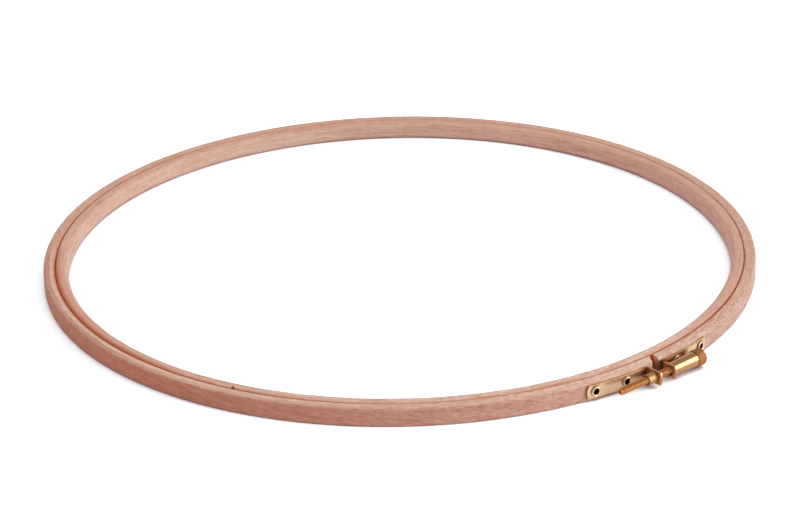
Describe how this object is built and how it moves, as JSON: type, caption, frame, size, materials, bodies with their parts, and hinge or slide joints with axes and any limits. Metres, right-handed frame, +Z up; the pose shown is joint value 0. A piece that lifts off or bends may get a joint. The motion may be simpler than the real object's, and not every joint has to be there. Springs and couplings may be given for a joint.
{
  "type": "embroidery hoop",
  "caption": "Nested round wooden rings that hold fabric taut between them, with a brass screw and long knob that close the split outer ring.",
  "frame": {"origin": "middle of the box of the hoop with its ears, on the surface that the hoop lies flat on", "axes": "+Z up out of that surface, -Y out through the outer ring's gap and the screw fitting, +X along the screw towards its knob"},
  "size_m": [0.3206, 0.3296, 0.008],
  "materials": {
    "beech": "sanded steamed beech, unvarnished",
    "brass_sheet": "bright rolled sheet",
    "brass_turned": "turned, smooth and bright",
    "brass_thread": "threaded rod, darker and redder"
  },
  "bodies": {
    "outer_right": {"outer_ring_right": "beech", "right_bracket": "brass_sheet", "eyelet_right_inner": "brass_sheet", "eyelet_right_outer": "brass_sheet"},
    "outer_left": {"outer_ring_left": "beech", "left_bracket": "brass_sheet", "eyelet_left_inner": "brass_sheet", "eyelet_left_outer": "brass_sheet", "threaded_boss": "brass_turned"},
    "inner": {"inner_ring": "beech"},
    "screw": {"screw_rod": "brass_thread", "screw_knob": "brass_turned"}
  },
  "joints": [
    {"name": "screw_turn", "type": "hinge", "parent": "outer_right", "child": "screw", "pos_m": [0, -0.1607, 0.0042], "axis": [1, 0, 0], "range_deg": [0, 6480]},
    {"name": "ring_opening", "type": "hinge", "parent": "outer_right", "child": "outer_left", "pos_m": [-0.01, 0.1648, 0.004], "axis": [0, 0, -1], "range_deg": [0, 1.58]},
    {"name": "inner_ring_lift", "type": "slide", "parent": "outer_right", "child": "inner", "axis": [0, 0, 1], "range_m": [0, 0.03]}
  ],
  "couplings": [
    {"joint": "screw_turn", "follows": "ring_opening", "ratio": 4090.4}
  ]
}
